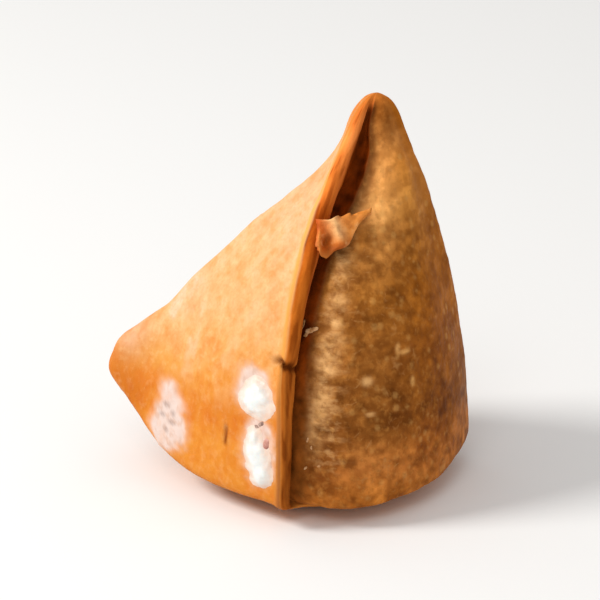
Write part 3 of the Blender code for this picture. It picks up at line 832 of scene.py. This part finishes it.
def lump(centre, axes, size, seed, around=20, up=12, ragged=.18):
    """A closed, uneven crumb: an ellipsoid with the given axes (rows) and half sizes."""
    points, faces = [], []
    for r in range(1, up):
        for c in range(around):
            a, b = np.pi * r / up, 2 * np.pi * c / around
            points.append([np.sin(a) * np.cos(b), np.sin(a) * np.sin(b), np.cos(a)])
    points += [[0, 0, 1], [0, 0, -1]]
    points = np.array(points)
    points = points * (1 + ragged * clouds(points + seed, .9, 2, seed))[:, None]
    last = (up - 1) * around
    for r in range(up - 2):
        for c in range(around):
            d = (c + 1) % around
            faces.append((r * around + c, (r + 1) * around + c, (r + 1) * around + d, r * around + d))
    for c in range(around):
        d = (c + 1) % around
        faces.append((last, c, d))
        faces.append((last + 1, (up - 2) * around + d, (up - 2) * around + c))
    return centre + (points * size) @ np.array(axes), faces


def joined(name, parts):
    points, faces, base = [], [], 0
    for p, f in parts:
        points.append(p)
        faces += [tuple(i + base for i in face) for face in facing_out(p - p.mean(0), f)]
        base += len(p)
    return new_mesh(name, np.vstack(points), faces)


def frame_at(normal, lean=0.0):
    """Rows: along the surface, up the surface (turned by lean), and out of it."""
    out = unit(np.asarray(normal, float))
    along = unit(np.cross([0, 0, 1.0], out))
    up = np.cross(out, along)
    return np.array([np.cos(lean) * along + np.sin(lean) * up, -np.sin(lean) * along + np.cos(lean) * up, out])


FLAKE_LEFT, FLAKE_RIGHT = (5.9, 57.2), (15.4, 58.5)    # where its upper corners lie, in x and z
FLAKE_TOP = ([0, .12, .3, .7, 1], [.5, .1, -.2, .0, .1])
FLAKE_LOW = ([0, .1, .2, .32, .5, .62, .68, .78, .9, 1], [-5.8, -6.6, -7.5, -6.7, -6.3, -5.6, -4.0, -2.4, -1.4, -.75])


def flake(tree):
    """A torn, curled shard of pastry across the fold: wide and cupped at the flap, pointed at the
    right. f runs from the flap to the point, g from its lower edge to its upper one."""
    a, _ = touch(tree, *FLAKE_LEFT)
    b, nb = touch(tree, *FLAKE_RIGHT)
    a, b = a + [-1.1, -.5, 0], b + nb * .5
    up = unit(np.array([0, .5, 1.0]))
    along = unit(b - a)
    out = unit(np.cross(up, along))
    out = -out if out[1] > 0 else out
    nu, nv = 52, 40
    f, g = np.meshgrid(np.linspace(0, 1, nu + 1), np.linspace(0, 1, nv + 1), indexing="ij")
    upper, lower = np.interp(f, *FLAKE_TOP), np.interp(f, *FLAKE_LOW)
    down = lower + (upper - lower) * g
    flat = np.stack([f * 9.5, f * 0 + 3.1, down], -1)
    fall = -down
    fold_line = (f - .27 - .036 * fall) / .13
    hollow = np.exp(-((f - .2) / .095) ** 2 - ((fall - 4.4) / 1.5) ** 2)
    rim = np.exp(-((f - .05) / .05) ** 2) * ramp(fall, 1.2, 3.0)
    lift = .9 * (1 - f) + 1.5 * np.exp(-fold_line ** 2) * (1 - .25 * ramp(fall, 3, 7)) - 1.5 * hollow + .5 * rim
    lift = lift + .28 * noise(flat, 1.7, 77) + .16 * noise(flat, .8, 79) - .25 * ramp(fall, 5, 7.5)
    edge = np.minimum(np.minimum(g, 1 - g) * (upper - lower), np.minimum(f, 1 - f) * 9.5)
    ragged = .35 * noise(flat, 1.1, 78) * np.exp(-(edge / .5) ** 2)
    mid = a + along * (np.linalg.norm(b - a) * f + ragged)[..., None] + up * (down + ragged)[..., None] + out * lift[..., None]
    half = out * (.34 * np.clip(edge / .45, .18, 1))[..., None]
    points = np.vstack([(mid + half).reshape(-1, 3), (mid - half).reshape(-1, 3)])
    n = f.size
    at = lambda i, j: i * (nv + 1) + j
    faces = []
    for i in range(nu):
        for j in range(nv):
            q = (at(i, j), at(i + 1, j), at(i + 1, j + 1), at(i, j + 1))
            faces += [q, tuple(k + n for k in reversed(q))]
    rim_of = [at(i, 0) for i in range(nu)] + [at(nu, j) for j in range(nv)] + [at(i, nv) for i in range(nu, 0, -1)] + [at(0, j) for j in range(nv, 0, -1)]
    for p, q in zip(rim_of, rim_of[1:] + rim_of[:1]):
        faces.append((q, p, p + n, q + n))
    piece = new_mesh("pastry_flake", points, facing_out(points - points.mean(0), faces))
    colour = stops(f, FLAKE_ACROSS)
    colour = mix(colour, linear(*FLAKE_RED), .75 * ramp(fall, 3.6, 6.4) * ramp(f, .2, .36))
    # painted highlight along the raised fold of the shard, and painted shade in its hollow
    colour = mix(colour, linear(*FLAKE_HIGHLIGHT), .85 * np.exp(-(fold_line / .95) ** 2) * (1 - ramp(fall, 3.2, 5.6)))
    colour = mix(colour, linear(*FLAKE_HOLLOW_SHADE), .9 * hollow)
    colour = mix(colour, linear(*FLAKE_PALE), .6 * rim + .5 * np.exp(-((f - .17) / .1) ** 2 - ((fall - 7.0) / .8) ** 2))
    colour = mix(colour, colour * [.58, .48, .30], .85 * ramp(fall, 4.2, 6.6) * (1 - .35 * rim))
    colour = colour * (1 + .22 * noise(flat, 1.2, 80))[..., None]
    paint(piece, "shard_colour", np.vstack([colour.reshape(-1, 3)] * 2))
    return piece


FLAKE_ACROSS = [(0, (200, 82, 22)), (.1, (222, 108, 34)), (.3, (244, 146, 66)), (.5, (246, 154, 70)), (.72, (238, 148, 64)), (1, (212, 136, 58))]
FLAKE_RED = (192, 90, 30)
FLAKE_HIGHLIGHT = (255, 200, 136)
FLAKE_HOLLOW_SHADE = (156, 78, 12)
FLAKE_PALE = (240, 160, 80)


def crumb_material(name, base, pale, dark, roughness=.55, scale=700, painted=None):
    m, nodes, links, shader = material(name, base, roughness)
    shader.inputs["Specular IOR Level"].default_value = .12
    place = nodes.new("ShaderNodeTexCoord").outputs["Object"]
    spots = noise_node(nodes, links, place, scale, 4, .6)
    if painted:
        base = add(nodes, "ShaderNodeAttribute", attribute_name=painted).outputs["Color"]
        colour = blend_colour(nodes, links, remap(nodes, links, spots, .55, .36, 0, .4), base, dark)
        colour = blend_colour(nodes, links, remap(nodes, links, spots, .55, .72, 0, .4), colour, pale)
    else:
        colour = blend_colour(nodes, links, remap(nodes, links, spots, .35, .55), dark, base)
        colour = blend_colour(nodes, links, remap(nodes, links, spots, .55, .72), colour, pale)
    links.new(colour, shader.inputs["Base Color"])
    links.new(remap(nodes, links, spots, .3, .7, roughness - .1, roughness + .1), shader.inputs["Roughness"])
    bump = nodes.new("ShaderNodeBump")
    bump.inputs["Strength"].default_value = .5
    bump.inputs["Distance"].default_value = .0003
    links.new(noise_node(nodes, links, place, scale * 2, 3, .5), bump.inputs["Height"])
    links.new(bump.outputs[0], shader.inputs["Normal"])
    return m


# ------------------------------------------------------------------ studio
def area_light(name, azimuth, elevation, distance, size, power, colour=(1, 1, 1), aim=(0, 0, .035)):
    data = bpy.data.lights.new(name, "AREA")
    data.shape = "DISK"
    data.size = size
    data.energy = power
    data.color = colour
    lamp = bpy.data.objects.new(name, data)
    a, e = np.radians(azimuth), np.radians(elevation)
    place = Vector(aim) + distance * Vector((np.sin(a) * np.cos(e), -np.cos(a) * np.cos(e), np.sin(e)))
    lamp.location = place
    lamp.rotation_euler = (Vector(aim) - place).to_track_quat("-Z", "Y").to_euler()
    bpy.context.scene.collection.objects.link(lamp)


def studio():
    world = bpy.data.worlds.new("studio")
    world.use_nodes = True
    world.node_tree.nodes["Background"].inputs["Color"].default_value = (1, .985, .965, 1)
    world.node_tree.nodes["Background"].inputs["Strength"].default_value = .53
    bpy.context.scene.world = world
    area_light("key", -82, 40, .95, .34, 6.1, (1, .985, .95))
    area_light("front", -12, 46, 1.1, .5, 1.6)
    bpy.ops.mesh.primitive_plane_add(size=6, location=(0, 0, -.00005))
    floor = bpy.context.object
    floor.name = "floor"
    m, _, _, shader = material("floor", (252, 252, 252), .85)
    shader.inputs["Specular IOR Level"].default_value = .15
    floor.data.materials.append(m)


def camera(shift):
    data = bpy.data.cameras.new("camera")
    data.lens = 232
    data.sensor_width = 36
    data.clip_end = 20
    eye = bpy.data.objects.new("camera", data)
    aim = (np.array([-1.5, 0.0, 37.0]) - shift) * MM
    e = np.radians(22)
    place = Vector(aim) + .75 * Vector((0, -np.cos(e), np.sin(e)))
    eye.location = place
    eye.rotation_euler = (Vector(aim) - place).to_track_quat("-Z", "Y").to_euler()
    bpy.context.scene.collection.objects.link(eye)
    bpy.context.scene.camera = eye


# ------------------------------------------------------------------ put together
for old in list(bpy.data.objects):
    bpy.data.objects.remove(old, do_unlink=True)
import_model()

solid, solid_tip, solid_foot, _, _ = samosa_skin(SOLID_COLUMNS, SOLID_RINGS)
solid_points = np.vstack([solid.reshape(-1, 3), solid_tip, solid_foot])
SHIFT = np.array([*((solid_points.min(0) + solid_points.max(0)) / 2)[:2], solid_points[:, 2].min()])

crust = build_crust(SHIFT)
crust.data.materials.append(crust_material())
tree = surface(crust)

yoghurt = yoghurt_material("yoghurt", (232, 236, 234), (234, 204, 184), .42)
marks = [
    smear("yoghurt_spot", tree, SPOT, 1.2, 2.3, .2, 5, .45),
    smear("yoghurt_drip", tree, DRIP, .9, 1.9, .2, 9, .5),
]
for piece in marks:
    piece.data.materials.append(yoghurt)
topped = surface(crust, *marks)

sliver = flake(tree)
sliver.data.materials.append(crumb_material("torn_pastry", (226, 138, 70), (252, 190, 124), (170, 84, 26), .55, 600, "shard_colour"))

rng = np.random.default_rng(SEED + 2)
bits = []
for x, z, lean, half in ((4.0, 37.1, .5, (1.0, .55, .24)), (4.9, 37.6, .3, (.6, .36, .2)), (2.6, 37.7, 1.5, (.85, .22, .18)), (3.2, 36.3, .9, (.6, .34, .2))):
    hit = touch(tree, x, z)
    bits.append(lump(hit[0] + hit[1] * .15, frame_at(hit[1], lean), half, int(rng.integers(90)), ragged=.36))
for x, z, lean, half in ((3.4, 17.4, 1.3, (.55, .22, .12)), (4.1, 16.0, 1.8, (.4, .22, .12)), (3.0, 11.9, .9, (.42, .22, .12)), (5.6, 12.8, .3, (.36, .24, .12))):
    hit = touch(tree, x, z)
    bits.append(lump(hit[0] + hit[1] * .05, frame_at(hit[1], lean), half, int(rng.integers(90))))
crumbs = joined("crumbs", bits)
crumbs.data.materials.append(crumb_material("crumb", (212, 164, 116), (240, 206, 164), (178, 120, 68)))

herbs = []
for x, z, lean, half in ((-5.5, 20.3, .4, (.85, .42, .12)), (-6.3, 19.7, -.5, (.5, .3, .12))):
    hit = touch(topped, x, z)
    herbs.append(lump(hit[0] + hit[1] * .02, frame_at(hit[1], lean), half, int(rng.integers(90)), 14, 8, .3))
flecks = joined("herb_flecks", herbs)
flecks.data.materials.append(crumb_material("dried_herb", (172, 142, 130), (200, 172, 158), (128, 100, 90), .6, 1600))

spice = []
for x, z, lean, half in ((-4.5, 16.6, 1.3, (1.5, .75, .26)),):
    hit = touch(topped, x, z)
    spice.append(lump(hit[0] + hit[1] * .03, frame_at(hit[1], lean), half, int(rng.integers(90)), 24, 14, .22))
relish = joined("relish_bits", spice)
relish.data.materials.append(crumb_material("relish", (204, 150, 136), (230, 188, 178), (160, 104, 92), .4, 700))

everything = [crust, *marks, sliver, crumbs, flecks, relish]
for piece in everything:
    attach(piece, "root")
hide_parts("samosa")
studio()
camera(SHIFT)
bpy.context.scene.view_settings.view_transform = "Standard"
